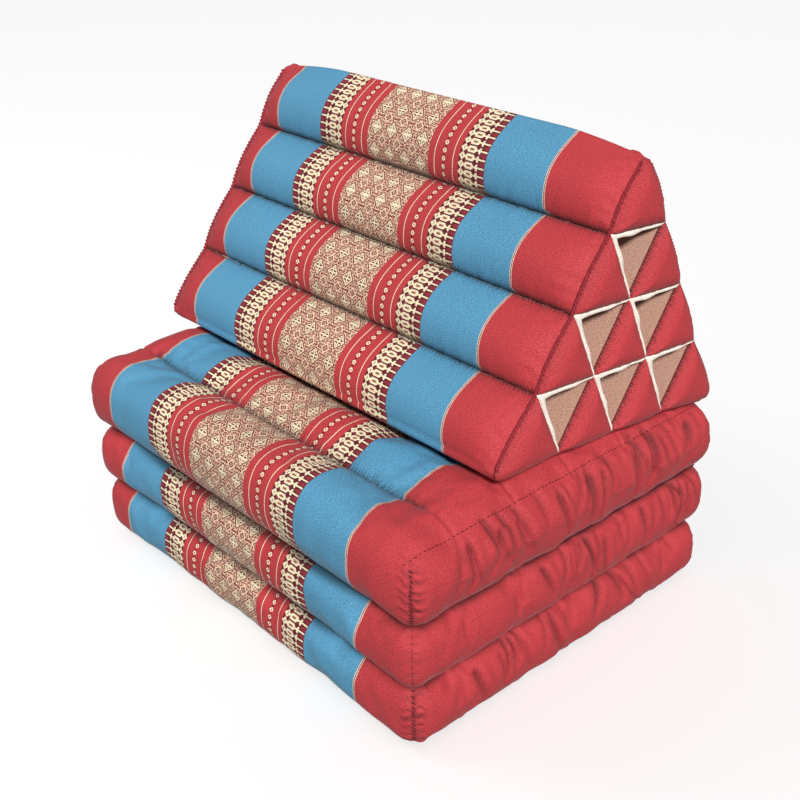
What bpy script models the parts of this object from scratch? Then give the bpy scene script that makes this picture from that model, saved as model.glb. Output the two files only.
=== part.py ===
"""Folding floor cushion: a triangular bolster of stuffed tubes on a stack of three folded mats.

Metres, +Z up, +X along the bolster, -Y towards the front. The origin is at the bottom centre.
"""
import math

import bmesh
import bpy
from mathutils import Matrix, Vector

# Mats
MAT_WIDTH = 0.556
MAT_DEPTH = 0.447
MAT_LEVELS = (0.0, 0.071, 0.1405)
TOP_SHOULDER = 0.221
SIDE_BULGE = 0.030
BULGE_ROUNDNESS = 0.80
BULGE_SQUARENESS = 0.66
CORNER_SQUARENESS = 0.72
CROWN_FADE = 4
CHANNEL_PITCH = 0.078
CHANNEL_SEAMS = 5
CHANNEL_ROUNDNESS = 0.7
SEAM_DEPTH = 0.014
SEAM_END_SHARE = 0.45
PRESSED_CROWN = 0.005
FREE_CROWN = 0.004
TOP_DOME = 0.016
TOP_DOME_FALL = (10, 4)
GAP = 0.0003
BOTTOM_INSET = 0.008
MIDDLE_INSET = 0.004

# Cuts that give a mat its faces, as parts of a channel and of the side bulge
PRESSED_CUTS = (0.1, 0.28, 0.72, 0.9)
FREE_CUTS = (0.12, 0.3, 0.5, 0.7, 0.88)
LENGTH_CUTS = (0.10, 0.19)
BULGE_CUT = math.tan(math.radians(22.5))

# Bolster: an equal-sided triangle of four rows, its front edge riding higher than its back edge
BOLSTER_LENGTH = 0.527
BOLSTER_SIDE = 0.316
BOLSTER_ROWS = 4
BOLSTER_TILT = math.radians(-5.5)
FRONT_EDGE = (-0.098, 0.255)
CHANNEL_CROWN = 0.015
BASE_CROWN = 0.012
SEAT_DROP = 0.009
TUBE_CLEARANCE = 0.0002
CORNER_ROUND = 0.0065
CORNER_STEPS = 4
ARC_STEPS = 8
ARC_ROUNDNESS = 0.75
RECESS_DEPTH = 0.038
RECESS_RIM = 0.04
RECESS_FLOOR = 0.97

# End panels
PANEL_SEAT = 0.0045
PANEL_RIM = 0.0012
PANEL_CROWN = 0.0105
PANEL_RINGS = ((0.93, 0.42), (0.74, 0.78), (0.42, 0.97))
PANEL_ARC_STEPS = 6

# Stations along a tube: distance from its end, drawn-in share of its channel crown
TUBE_STATIONS = (
    {"from_end": 0.000, "crown": 0.24},
    {"from_end": 0.009, "crown": 0.62},
    {"from_end": 0.022, "crown": 0.87},
    {"from_end": 0.038, "crown": 0.97},
    {"from_end": 0.075, "crown": 1.00},
)

RED_CLOTH = {"name": "red_cloth", "colour": (0.52, 0.04, 0.06), "roughness": 0.85}
BLUE_CLOTH = {"name": "woven_cloth", "colour": (0.07, 0.30, 0.52), "roughness": 0.82}
CALICO = {"name": "calico", "colour": (0.86, 0.76, 0.62), "roughness": 0.9}


def clear_scene():
    for item in list(bpy.data.objects):
        bpy.data.objects.remove(item, do_unlink=True)


def cloth_material(cloth):
    material = bpy.data.materials.get(cloth["name"])
    if material is None:
        material = bpy.data.materials.new(cloth["name"])
        material.use_nodes = True
        shader = material.node_tree.nodes["Principled BSDF"]
        shader.inputs["Base Color"].default_value = (*cloth["colour"], 1.0)
        shader.inputs["Roughness"].default_value = cloth["roughness"]
        shader.inputs["Metallic"].default_value = 0.0
    return material


def finish_piece(name, bm, cloth):
    bmesh.ops.recalc_face_normals(bm, faces=bm.faces[:])
    mesh = bpy.data.meshes.new(name)
    bm.to_mesh(mesh)
    bm.free()
    mesh.shade_smooth()
    mesh.materials.append(cloth_material(cloth))
    piece = bpy.data.objects.new(name, mesh)
    bpy.context.collection.objects.link(piece)
    return piece


def loft(name, sections, cloth):
    """One closed solid through sections that all have the same number of points."""
    bm = bmesh.new()
    rings = []
    for section in sections:
        corners = [bm.verts.new(point) for point in section]
        rings.append([bm.edges.new((corner, following))
                      for corner, following in zip(corners, corners[1:] + corners[:1])])
    for ring, following in zip(rings, rings[1:]):
        bmesh.ops.bridge_loops(bm, edges=ring + following)
    for ring in (rings[0], rings[-1]):
        bmesh.ops.contextual_create(bm, geom=ring)
    return finish_piece(name, bm, cloth)


# Where the bolster lies

def bolster_point(along, across):
    """A point of the triangle's grid: along counts down the front edge, across down the back edge."""
    front = Vector(FRONT_EDGE)
    base = Vector((math.cos(BOLSTER_TILT), math.sin(BOLSTER_TILT))) * BOLSTER_SIDE
    rise = math.radians(60) + BOLSTER_TILT
    apex = front + Vector((math.cos(rise), math.sin(rise))) * BOLSTER_SIDE
    back = front + base
    return apex + (front - apex) * along / BOLSTER_ROWS + (back - apex) * across / BOLSTER_ROWS


def seat_height(y):
    """Height of the plane on which the bolster's pressed base meets the top mat."""
    front_y, front_z = FRONT_EDGE
    return front_z - SEAT_DROP / math.cos(BOLSTER_TILT) + (y - front_y) * math.tan(BOLSTER_TILT)


# Mats

def channel_seams():
    middle = (CHANNEL_SEAMS - 1) / 2
    return [(index - middle) * CHANNEL_PITCH for index in range(CHANNEL_SEAMS)]


def channel_share(y):
    """How full a mat is at this depth: 0 on a seam and 1 along the middle of a channel."""
    seams = channel_seams()
    if y <= seams[0] or y >= seams[-1]:
        reach = min(abs(y - seams[0]), abs(y - seams[-1]))
        return math.sin(min(reach / CHANNEL_PITCH, 0.5) * math.pi) ** CHANNEL_ROUNDNESS
    place = (y - seams[0]) / CHANNEL_PITCH % 1.0
    return abs(math.sin(place * math.pi)) ** CHANNEL_ROUNDNESS


def seam_depth(x, half_width):
    """Depth of a channel seam, which grows shallow towards the mat's sides."""
    start = LENGTH_CUTS[-1]
    end = half_width - SIDE_BULGE
    share = max(0.0, min(1.0, (abs(x) - start) / (end - start)))
    return SEAM_DEPTH * (1 - share * (1 - SEAM_END_SHARE))


def bulge_cuts(half):
    """Where the side bulge begins at both ends of a length, and a step further out."""
    return [side * (half - reach) for side in (-1, 1)
            for reach in (SIDE_BULGE, SIDE_BULGE * (1 - BULGE_CUT))]


def depth_cuts(half, channel_cuts):
    """Depths at which a mat's faces are cut, from seam to seam and round its front and back."""
    seams = channel_seams()
    inside = [seam + part * CHANNEL_PITCH for seam in seams[:-1] for part in channel_cuts]
    return seams + inside + bulge_cuts(half)


def length_cuts(half):
    return [0.0] + [side * cut for side in (-1, 1) for cut in LENGTH_CUTS] + bulge_cuts(half)


def round_side(point, half):
    """Move a point of a plain block onto a block with full, squarish bulging sides."""
    core = Vector([max(-h + r, min(h - r, c))
                   for c, h, r in zip(point, half, (SIDE_BULGE, SIDE_BULGE, half.z))])
    away = point - core
    away.x /= SIDE_BULGE
    away.y /= SIDE_BULGE
    away.z /= half.z
    away.normalize()
    level = Vector((away.x, away.y))
    reach = level.length
    if reach > 0:
        level.normalize()
        level = Vector([math.copysign(abs(part) ** CORNER_SQUARENESS, part) for part in level])
        level *= SIDE_BULGE * reach ** BULGE_ROUNDNESS
    height = math.copysign(abs(away.z) ** BULGE_SQUARENESS * half.z, away.z)
    return Vector((core.x + level.x, core.y + level.y, height)), away.z ** CROWN_FADE


def mat(name, levels, inset, crown, dome, ceiling, channel_cuts):
    """A quilted mat between two levels, pressed flat under the ceiling that each depth has."""
    low, high = levels
    half = Vector(((MAT_WIDTH - inset) / 2, (MAT_DEPTH - inset) / 2, (high - low) / 2))
    middle = (high + low) / 2
    bm = bmesh.new()
    bmesh.ops.create_cube(bm, size=1.0)
    bmesh.ops.scale(bm, vec=half * 2, verts=bm.verts[:])
    cuts = [((cut, 0, 0), (1, 0, 0)) for cut in length_cuts(half.x)]
    cuts += [((0, cut, 0), (0, 1, 0)) for cut in depth_cuts(half.y, channel_cuts)]
    cuts += [((0, 0, cut * half.z), (0, 0, 1)) for cut in (-BULGE_CUT, 0, BULGE_CUT)]
    for place, normal in cuts:
        bmesh.ops.bisect_plane(bm, geom=bm.verts[:] + bm.edges[:] + bm.faces[:],
                               plane_co=place, plane_no=normal)
    for vert in bm.verts:
        place, flatness = round_side(vert.co, half)
        fall = 1.0
        for part, reach, power in zip(place, half, TOP_DOME_FALL):
            fall *= 1 - abs(part / reach) ** power
        swell = crown - seam_depth(place.x, half.x) * (1 - channel_share(place.y))
        if place.z > 0:
            place.z += (swell + dome * fall) * flatness
        else:
            place.z -= swell * flatness
        place.z = max(low + GAP / 2, min(ceiling(place.y) - GAP / 2, place.z + middle))
        vert.co = place
    return finish_piece(name, bm, BLUE_CLOTH)


def make_mats():
    floor, middle, top = MAT_LEVELS
    mat("mat_bottom", (floor - GAP / 2, middle), BOTTOM_INSET, PRESSED_CROWN, 0.0,
        lambda y: middle, PRESSED_CUTS)
    mat("mat_middle", (middle, top), MIDDLE_INSET, PRESSED_CROWN, 0.0, lambda y: top, PRESSED_CUTS)
    mat("mat_top", (top, TOP_SHOULDER), 0.0, FREE_CROWN, TOP_DOME, seat_height, FREE_CUTS)


# Bolster

def outward(start, end, centre):
    """Unit normal of one side of a tube's triangle, pointing away from its centre."""
    run = end - start
    normal = Vector((run.y, -run.x)).normalized()
    return normal if normal.dot(start - centre) > 0 else -normal


def tube_corners(row, place):
    """Corners of one upright triangle and, for each side, whether it faces outside or down."""
    along = row - place
    corners = [bolster_point(along, place), bolster_point(along + 1, place),
               bolster_point(along, place + 1)]
    sides = ["channel" if place == 0 else "inner",
             "base" if row == BOLSTER_ROWS - 1 else "inner",
             "channel" if along == 0 else "inner"]
    return corners, sides


def outer_arc(start, end, normal, side, crown, steps, rounded):
    """Points along a bulging outer side, pressed flat where it is the bolster's base.

    rounded says whether the side's start and end are outer corners of the whole bolster, which the
    cloth rounds instead of meeting in a seam.
    """
    height = CHANNEL_CROWN if side == "channel" else BASE_CROWN
    points = []
    for step in range(0 if rounded[0] else 1, steps + 1 if rounded[1] else steps):
        share = step / steps
        rise = height * crown * math.sin(share * math.pi) ** ARC_ROUNDNESS
        rise += CORNER_ROUND * (rounded[0] * (1 - share) ** 2 + rounded[1] * share ** 2)
        if side == "base":
            rise = min(rise, SEAT_DROP - GAP / 2)
        points.append(start + (end - start) * share + normal * rise)
    return points


def round_corner(corner, normals):
    """Points round an outer corner, between the ends of the two sides that meet there."""
    turn = normals[0].angle_signed(normals[1])
    points = []
    for step in range(1, CORNER_STEPS):
        normal = normals[0].copy()
        normal.rotate(Matrix.Rotation(-turn * step / CORNER_STEPS, 2))
        points.append(corner + normal * CORNER_ROUND)
    return points


def outline(row, place, crown, steps, inner_points):
    """Outline of one tube, with inner_points giving the points along a side inside the bolster."""
    corners, sides = tube_corners(row, place)
    centre = sum(corners, Vector((0.0, 0.0))) / 3
    normals = [outward(corners[index], corners[(index + 1) % 3], centre) for index in range(3)]
    rounded = [sides[index - 1] != "inner" and sides[index] != "inner" for index in range(3)]
    points = []
    for index, side in enumerate(sides):
        following = (index + 1) % 3
        start, end = corners[index], corners[following]
        if rounded[index]:
            points += round_corner(start, (normals[index - 1], normals[index]))
        else:
            points.append(start)
        if side == "inner":
            points += inner_points(start, end, normals[index], centre)
        else:
            points += outer_arc(start, end, normals[index], side, crown, steps,
                                (rounded[index], rounded[following]))
    return points, centre


def tube_section(row, place, x, recess, crown):
    """Section of a tube: a triangle at its end, swelling into the recesses beside it to a hexagon."""
    def swollen_side(start, end, normal, centre):
        meeting = centre + normal * 2 * normal.dot(start - centre)
        return [start.lerp(meeting, recess), end.lerp(meeting, recess)]

    points, centre = outline(row, place, crown, ARC_STEPS, swollen_side)
    shrink = 1 - TUBE_CLEARANCE / (BOLSTER_SIDE / BOLSTER_ROWS / 2)
    return [(x, *(centre + (point - centre) * shrink)) for point in points]


def panel_section(row, place, x, scale):
    """Ring of an end panel, scaled towards the middle of its triangle."""
    def straight_side(start, end, normal, centre):
        return [start.lerp(end, 1 / 3), start.lerp(end, 2 / 3)]

    points, centre = outline(row, place, TUBE_STATIONS[0]["crown"], PANEL_ARC_STEPS, straight_side)
    shrink = 1 - TUBE_CLEARANCE / (BOLSTER_SIDE / BOLSTER_ROWS / 4)
    return [(x, *(centre + (point - centre) * shrink * scale)) for point in points]


def make_tube(name, row, place):
    tube_end = BOLSTER_LENGTH / 2 - PANEL_SEAT
    near_end = []
    for station in TUBE_STATIONS:
        recess = RECESS_RIM + (RECESS_FLOOR - RECESS_RIM) * min(station["from_end"] / RECESS_DEPTH, 1.0)
        near_end.append((tube_end - station["from_end"], recess, station["crown"]))
    stations = near_end + [(-x, recess, crown) for x, recess, crown in reversed(near_end)]
    sections = [tube_section(row, place, *station) for station in stations]
    inside = 0 < place < row < BOLSTER_ROWS - 1
    loft(name, sections, CALICO if inside else BLUE_CLOTH)


def make_panel(name, row, place, side):
    seat = BOLSTER_LENGTH / 2 - PANEL_SEAT + GAP
    rim = BOLSTER_LENGTH / 2 - PANEL_RIM
    sections = [panel_section(row, place, side * seat, 1.0), panel_section(row, place, side * rim, 1.0)]
    for scale, share in PANEL_RINGS:
        sections.append(panel_section(row, place, side * (rim + share * PANEL_CROWN), scale))
    loft(name, sections, RED_CLOTH)


def make_bolster():
    number = 0
    for row in range(BOLSTER_ROWS):
        for place in range(row + 1):
            number += 1
            make_tube(f"tube_{number:02d}", row, place)
            for word, side in (("right", 1), ("left", -1)):
                make_panel(f"end_{word}_{number:02d}", row, place, side)


clear_scene()
make_mats()
make_bolster()
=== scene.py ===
"""Looks of a folding floor cushion: a bolster of stuffed tubes on three quilted mats.

Metres, +Z up, +X along the bolster, -Y towards the front. The origin is at the bottom centre.
"""
import math

import bmesh
import bpy
import numpy as np
from mathutils import Matrix, Vector
from mathutils.bvhtree import BVHTree


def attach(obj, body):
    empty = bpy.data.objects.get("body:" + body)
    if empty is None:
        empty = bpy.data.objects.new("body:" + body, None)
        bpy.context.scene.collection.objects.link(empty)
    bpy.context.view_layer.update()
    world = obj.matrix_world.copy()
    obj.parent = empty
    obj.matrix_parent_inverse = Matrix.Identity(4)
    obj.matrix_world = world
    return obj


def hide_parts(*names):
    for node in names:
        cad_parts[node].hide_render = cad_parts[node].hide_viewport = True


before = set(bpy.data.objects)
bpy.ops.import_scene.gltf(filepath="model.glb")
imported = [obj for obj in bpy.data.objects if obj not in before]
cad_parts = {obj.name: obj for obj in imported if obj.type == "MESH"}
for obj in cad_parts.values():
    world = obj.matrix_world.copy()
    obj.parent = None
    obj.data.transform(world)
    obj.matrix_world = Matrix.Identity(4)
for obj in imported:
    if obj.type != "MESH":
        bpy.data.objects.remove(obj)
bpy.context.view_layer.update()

# Mats, as in the solids
MAT_WIDTH = 0.556
MAT_DEPTH = 0.447
MAT_LEVELS = (0.0, 0.071, 0.1405)
TOP_SHOULDER = 0.221
SIDE_BULGE = 0.030
BULGE_ROUNDNESS = 0.80
BULGE_SQUARENESS = 0.66
CORNER_SQUARENESS = 0.72
CHANNEL_PITCH = 0.078
CHANNEL_SEAMS = 5
CHANNEL_ROUNDNESS = 0.7
SEAM_DEPTH = 0.014
SEAM_END_SHARE = 0.22
SEAM_FULL_REACH = 0.19
PRESSED_CROWN = 0.005
FREE_CROWN = 0.004
TOP_DOME = 0.016
TOP_DOME_FALL = (10, 4)
GAP = 0.0003
BOTTOM_INSET = 0.008
MIDDLE_INSET = 0.004
SIDE_LINE = (0.263, 0.2165)
KAPOK_FRAMES = 14
KAPOK_PRESSURE = 2.5
COVER_SLACK = 0.02
KAPOK_CAP = 0.004
HAND_SEWN_CORNERS = ("mat_bottom", "mat_top")
FOLD_RIDGE = 0.0024
FOLD_VALLEY = 0.007
# For each mat the count of its side folds, where they start and end, and how deep they are
SIDE_FOLDS = {"mat_bottom": (15, (-0.18, 0.17), 0.0078), "mat_middle": (20, (-0.06, 0.19), 0.0056),
              "mat_top": (34, (-0.16, 0.19), 0.0074)}

# Bolster, as in the solids
BOLSTER_LENGTH = 0.527
BOLSTER_SIDE = 0.316
BOLSTER_ROWS = 4
BOLSTER_TILT = math.radians(-5.5)
FRONT_EDGE = (-0.098, 0.255)
CHANNEL_CROWN = 0.0195
CHANNEL_SAG = 1.22
BASE_CROWN = 0.012
SEAT_DROP = 0.009
TUBE_CLEARANCE = 0.0002
CORNER_ROUND = 0.0065
ARC_ROUNDNESS = 0.75
RECESS_DEPTH = 0.038
LIP_FULL = 0.0076
LIP_THIN = 0.0027
RECESS_STITCHES = 24
PANEL_SEAT = 0.0045
PANEL_RIM = 0.0012
PANEL_CROWN = 0.0105

# Woven bands, with their figures' repeat in millimetres
PATTERN_MIDDLE = -0.018
PATTERN_LEAN = 0.035
MAT_PATTERN_SHIFTS = {"mat_bottom": 0.007, "mat_middle": 0.014, "mat_top": 0.009}
THREADS = (0.90, 0.82)
LATTICE_REPEAT = (26, 30)
FIGURE_PITCH = 8.2
LATTICE_EDGE, CHAIN_EDGE, FIGURE_EDGE, BLUE_EDGE = 46.8, 90.0, 126.0, 202.5


# Numbers over the cloth

def uneven_wave(along, pitch, seed):
    """A wave from -1 to 1 of about this pitch, with folds that are never evenly spaced."""
    chance = np.random.default_rng(seed)
    total = np.zeros_like(along)
    for share, weight in ((0.62, 0.3), (1.0, 0.45), (1.55, 0.25)):
        total += weight * np.sin(along * 2 * math.pi / (pitch * share) + chance.uniform(0, 2 * math.pi))
    return total


def soft_folds(along, across, pitch, seed):
    """Uneven folds that run across, and lean and wander a little on their way."""
    wander = uneven_wave(across, pitch * 3.1, seed + 1) * pitch * 0.35
    return uneven_wave(along + wander, pitch, seed)


def near(distance, reach):
    return np.exp(-(distance / reach) ** 2)


# Pieces

def read_points(mesh):
    points = np.empty(len(mesh.vertices) * 3)
    mesh.vertices.foreach_get("co", points)
    return points.reshape(-1, 3)


def write_points(mesh, points):
    mesh.vertices.foreach_set("co", np.ascontiguousarray(points, dtype=np.float32).ravel())
    mesh.update()


def read_normals(mesh):
    normals = np.empty(len(mesh.vertices) * 3)
    mesh.vertex_normals.foreach_get("vector", normals)
    return normals.reshape(-1, 3)


def finished_mesh(name, bm):
    mesh = bpy.data.meshes.new(name)
    bm.to_mesh(mesh)
    bm.free()
    return mesh


def keep_on_cloth(mesh, name, values):
    """Keep a value for each point with the cloth, such as where the weave lies."""
    layer = mesh.attributes.new(name, "FLOAT_VECTOR", "POINT")
    layer.data.foreach_set("vector", np.ascontiguousarray(values, dtype=np.float32).ravel())


def read_from_cloth(mesh, name):
    values = np.empty(len(mesh.vertices) * 3)
    mesh.attributes[name].data.foreach_get("vector", values)
    return values.reshape(-1, 3)


def add_piece(name, mesh, materials):
    for material in materials:
        mesh.materials.append(material)
    mesh.shade_smooth()
    piece = bpy.data.objects.new(name, mesh)
    bpy.context.collection.objects.link(piece)
    return piece


def subdivide_once(piece):
    """Smooth the piece with one subdivision, kept in its mesh."""
    smoothing = piece.modifiers.new("smoothing", "SUBSURF")
    smoothing.levels = 1
    smoothing.render_levels = 1
    settled = piece.evaluated_get(bpy.context.evaluated_depsgraph_get())
    mesh = bpy.data.meshes.new_from_object(settled)
    piece.modifiers.clear()
    piece.data = mesh
    mesh.shade_smooth()


def fit_in_frame(piece, slot, nodes=()):
    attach(piece, "root")
    if nodes:
        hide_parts(*nodes)


# Mats

def seat_height(y):
    front_y, front_z = FRONT_EDGE
    return front_z - SEAT_DROP / math.cos(BOLSTER_TILT) + (y - front_y) * math.tan(BOLSTER_TILT)


def channel_seams():
    middle = (CHANNEL_SEAMS - 1) / 2
    return [(index - middle) * CHANNEL_PITCH for index in range(CHANNEL_SEAMS)]


def channel_share(y):
    seams = channel_seams()
    beyond = np.minimum(np.abs(y - seams[0]), np.abs(y - seams[-1])) / CHANNEL_PITCH
    place = np.where((y <= seams[0]) | (y >= seams[-1]), np.minimum(beyond, 0.5),
                     (y - seams[0]) / CHANNEL_PITCH % 1.0)
    return np.abs(np.sin(place * math.pi)) ** CHANNEL_ROUNDNESS


def seam_depth(x, half_width):
    end = half_width - SIDE_BULGE
    share = np.clip((np.abs(x) - SEAM_FULL_REACH) / (end - SEAM_FULL_REACH), 0, 1)
    return SEAM_DEPTH * (1 - share * (1 - SEAM_END_SHARE))


def facing(block, half):
    """Core point and outward direction for each point of a mat's plain block."""
    bulge = np.array((SIDE_BULGE, SIDE_BULGE, half[2]))
    core = np.clip(block, -half + bulge, half - bulge)
    away = (block - core) / bulge
    return core, away / np.linalg.norm(away, axis=1, keepdims=True)


def stuffed_mat(block, half, middle, crown, dome):
    """A plain block's points on the full, quilted form of a mat."""
    core, away = facing(block, half)
    reach = np.linalg.norm(away[:, :2], axis=1)
    heading = away[:, :2] / np.maximum(reach, 1e-9)[:, None]
    heading = np.sign(heading) * np.abs(heading) ** CORNER_SQUARENESS
    place = core.copy()
    place[:, :2] += heading * (SIDE_BULGE * reach ** BULGE_ROUNDNESS)[:, None]
    side = np.sign(away[:, 2])
    place[:, 2] = side * np.abs(away[:, 2]) ** BULGE_SQUARENESS * half[2]
    fall = (1 - np.abs(place[:, 0] / half[0]) ** TOP_DOME_FALL[0])
    fall *= (1 - np.abs(place[:, 1] / half[1]) ** TOP_DOME_FALL[1])
    swell = crown - seam_depth(place[:, 0], half[0]) * (1 - channel_share(place[:, 1]))
    place[:, 2] += side * (swell + np.where(side > 0, dome * fall, 0)) * away[:, 2] ** 4
    place[:, 2] += middle
    return place


def bulge_steps(count, roundness):
    """Places round a quarter of the side bulge, as they lie on the plain block."""
    edge = math.sqrt(0.5) ** roundness
    shares = [(edge * step / count) ** (1 / roundness) for step in range(1, count + 1)]
    return [share / math.sqrt(1 - share * share) for share in shares]


def even_steps(start, end, pitch):
    count = max(1, round((end - start) / pitch))
    return [start + (end - start) * step / count for step in range(1, count)]


def mat_cuts(half):
    """Places of the faces' edges along the mat's length, depth and height."""
    steps = [SIDE_BULGE * (step - 1) for step in bulge_steps(5, BULGE_ROUNDNESS)]
    ends = [half[0] + step for step in steps]
    fronts = [half[1] + step for step in steps]
    length = [half[0] - SIDE_BULGE] + even_steps(0.19, half[0] - SIDE_BULGE, 0.0065) + [0.19]
    length += even_steps(0, 0.19, 0.009)
    length = sorted([0.0] + [side * place for place in length + ends for side in (-1, 1)])
    seams = channel_seams()
    depth = list(seams)
    for seam, following in zip(seams, seams[1:]):
        depth += even_steps(seam, following, 0.0041)
    outer = even_steps(seams[-1], half[1] - SIDE_BULGE, 0.0041) + [half[1] - SIDE_BULGE] + fronts
    depth = sorted(depth + [side * place for place in outer for side in (-1, 1)])
    heights = [half[2] * step for step in bulge_steps(6, BULGE_SQUARENESS)]
    height = sorted([0.0] + [side * place for place in heights for side in (-1, 1)])
    return length, depth, height


def cut_block(cuts):
    """A block cut at the given places, with each point's three counts along them."""
    bm = bmesh.new()
    bmesh.ops.create_cube(bm, size=2.0)
    for axis, places in enumerate(cuts):
        along = [edge for edge in bm.edges
                 if abs(edge.verts[0].co[axis] - edge.verts[1].co[axis]) > 1]
        bmesh.ops.subdivide_edges(bm, edges=along, cuts=len(places) - 2)
    mesh = finished_mesh("mat", bm)
    points = read_points(mesh)
    counts = [np.rint((points[:, axis] + 1) / 2 * (len(places) - 1)).astype(int)
              for axis, places in enumerate(cuts)]
    block = np.stack([np.array(places)[count] for places, count in zip(cuts, counts)], axis=1)
    return mesh, block, counts


def arc_lengths(points):
    steps = np.linalg.norm(np.diff(points, axis=0), axis=1)
    return np.concatenate(((0.0,), np.cumsum(steps)))


def lay_weave(block, counts, cuts, half, form, shift):
    """Where the weave lies on each point: along the bolster, and round the mat from its top's middle."""
    length, depth, height = [np.array(places) for places in cuts]
    top = form(np.stack((0 * depth, depth, 0 * depth + half[2]), axis=1))
    over = arc_lengths(top)
    over -= np.interp(0.0, depth, over)
    front = form(np.stack((0 * height, 0 * height - half[1], height), axis=1))
    down = arc_lengths(front[::-1])[::-1]
    ends = form(np.stack((length, 0 * length, 0 * length + half[2]), axis=1))
    reach = arc_lengths(ends)
    reach -= np.interp(0.0, length, reach)
    x_count, y_count, z_count = counts
    round_mat = over[y_count]
    on_front = np.isclose(block[:, 1], -half[1])
    on_back = np.isclose(block[:, 1], half[1])
    on_bottom = np.isclose(block[:, 2], -half[2]) & ~on_front & ~on_back
    round_mat = np.where(on_front, over[0] - down[z_count], round_mat)
    round_mat = np.where(on_back, over[-1] + down[z_count], round_mat)
    below_front = over[0] - down[0] - (block[:, 1] + half[1])
    below_back = over[-1] + down[0] + (half[1] - block[:, 1])
    round_mat = np.where(on_bottom, np.where(block[:, 1] < 0, below_front, below_back), round_mat)
    at_end = np.isclose(np.abs(block[:, 0]), half[0])
    along = reach[x_count] + np.where(at_end, np.sign(block[:, 0]) * down[z_count], 0.0)
    # The third value is the distance to the nearest channel seam. It sets the gathers and the painted
    # shade of the seam's crease, and it is large on the sides and ends, which get none.
    seam = np.min([np.abs(block[:, 1] - seam) for seam in channel_seams()], axis=0)
    seam = seam + np.clip(np.abs(block[:, 0]) - 0.225, 0, 1) * 2
    seam = np.where(np.isclose(np.abs(block[:, 2]), half[2]), seam, 1.0)
    return np.stack((along - shift, round_mat, seam), axis=1)


def lay_pull(block, half, valley):
    """Where the cover is gathered, down its sides and across its corner seams, and how much painted shade
    lies deep in its folds, tucks and creases.
    """
    away = facing(block, half)[1]
    side = np.abs(away[:, 0]) ** 1.5 * (0.55 + 0.45 * np.sign(away[:, 2]) * np.abs(away[:, 2]) ** 0.5)
    corner = np.abs(np.abs(away[:, 0]) - np.abs(away[:, 1]))
    corner = near(corner, 0.42) * np.clip(np.hypot(away[:, 0], away[:, 1]), 0, 1) ** 2
    ends = np.clip(np.minimum(np.abs(away[:, 0]), np.abs(away[:, 1])) * 6, 0, 1)
    return np.column_stack((side, corner * ends, valley))


def side_folds(along, down, stretch, count, size, seed):
    """Crisp gathers that hang from a mat's upper seam: their relief, and how deep in one each point is."""
    chance = np.random.default_rng(seed)
    relief = np.zeros_like(along)
    valley = np.zeros_like(along)
    for _ in range(count):
        place, lean = chance.uniform(*stretch), chance.uniform(-0.25, 0.45)
        width, deep = chance.uniform(0.0045, 0.0105), chance.uniform(0.2, 1.0)
        top, length = chance.uniform(-0.006, 0.014), chance.uniform(0.028, 0.068)
        bend = chance.uniform(-5, 5)
        offset = (along - place - lean * down - bend * down ** 2) / width
        share = (down - top) / length
        fade = deep * np.clip(share * 7 + 0.5, 0, 1) * np.clip(1 - share, 0, 1) ** 0.7
        ridge = 0.7 * near(offset - 1.0, 0.7) + 0.3 * near(offset + 1.3, 0.9)
        relief += size * fade * (ridge - np.exp(-2.2 * np.abs(offset)))
        valley = np.maximum(valley, fade * near(offset, 0.42))
    limit = np.where(relief > 0, FOLD_RIDGE, FOLD_VALLEY)
    return limit * np.tanh(relief / limit), valley


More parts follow.
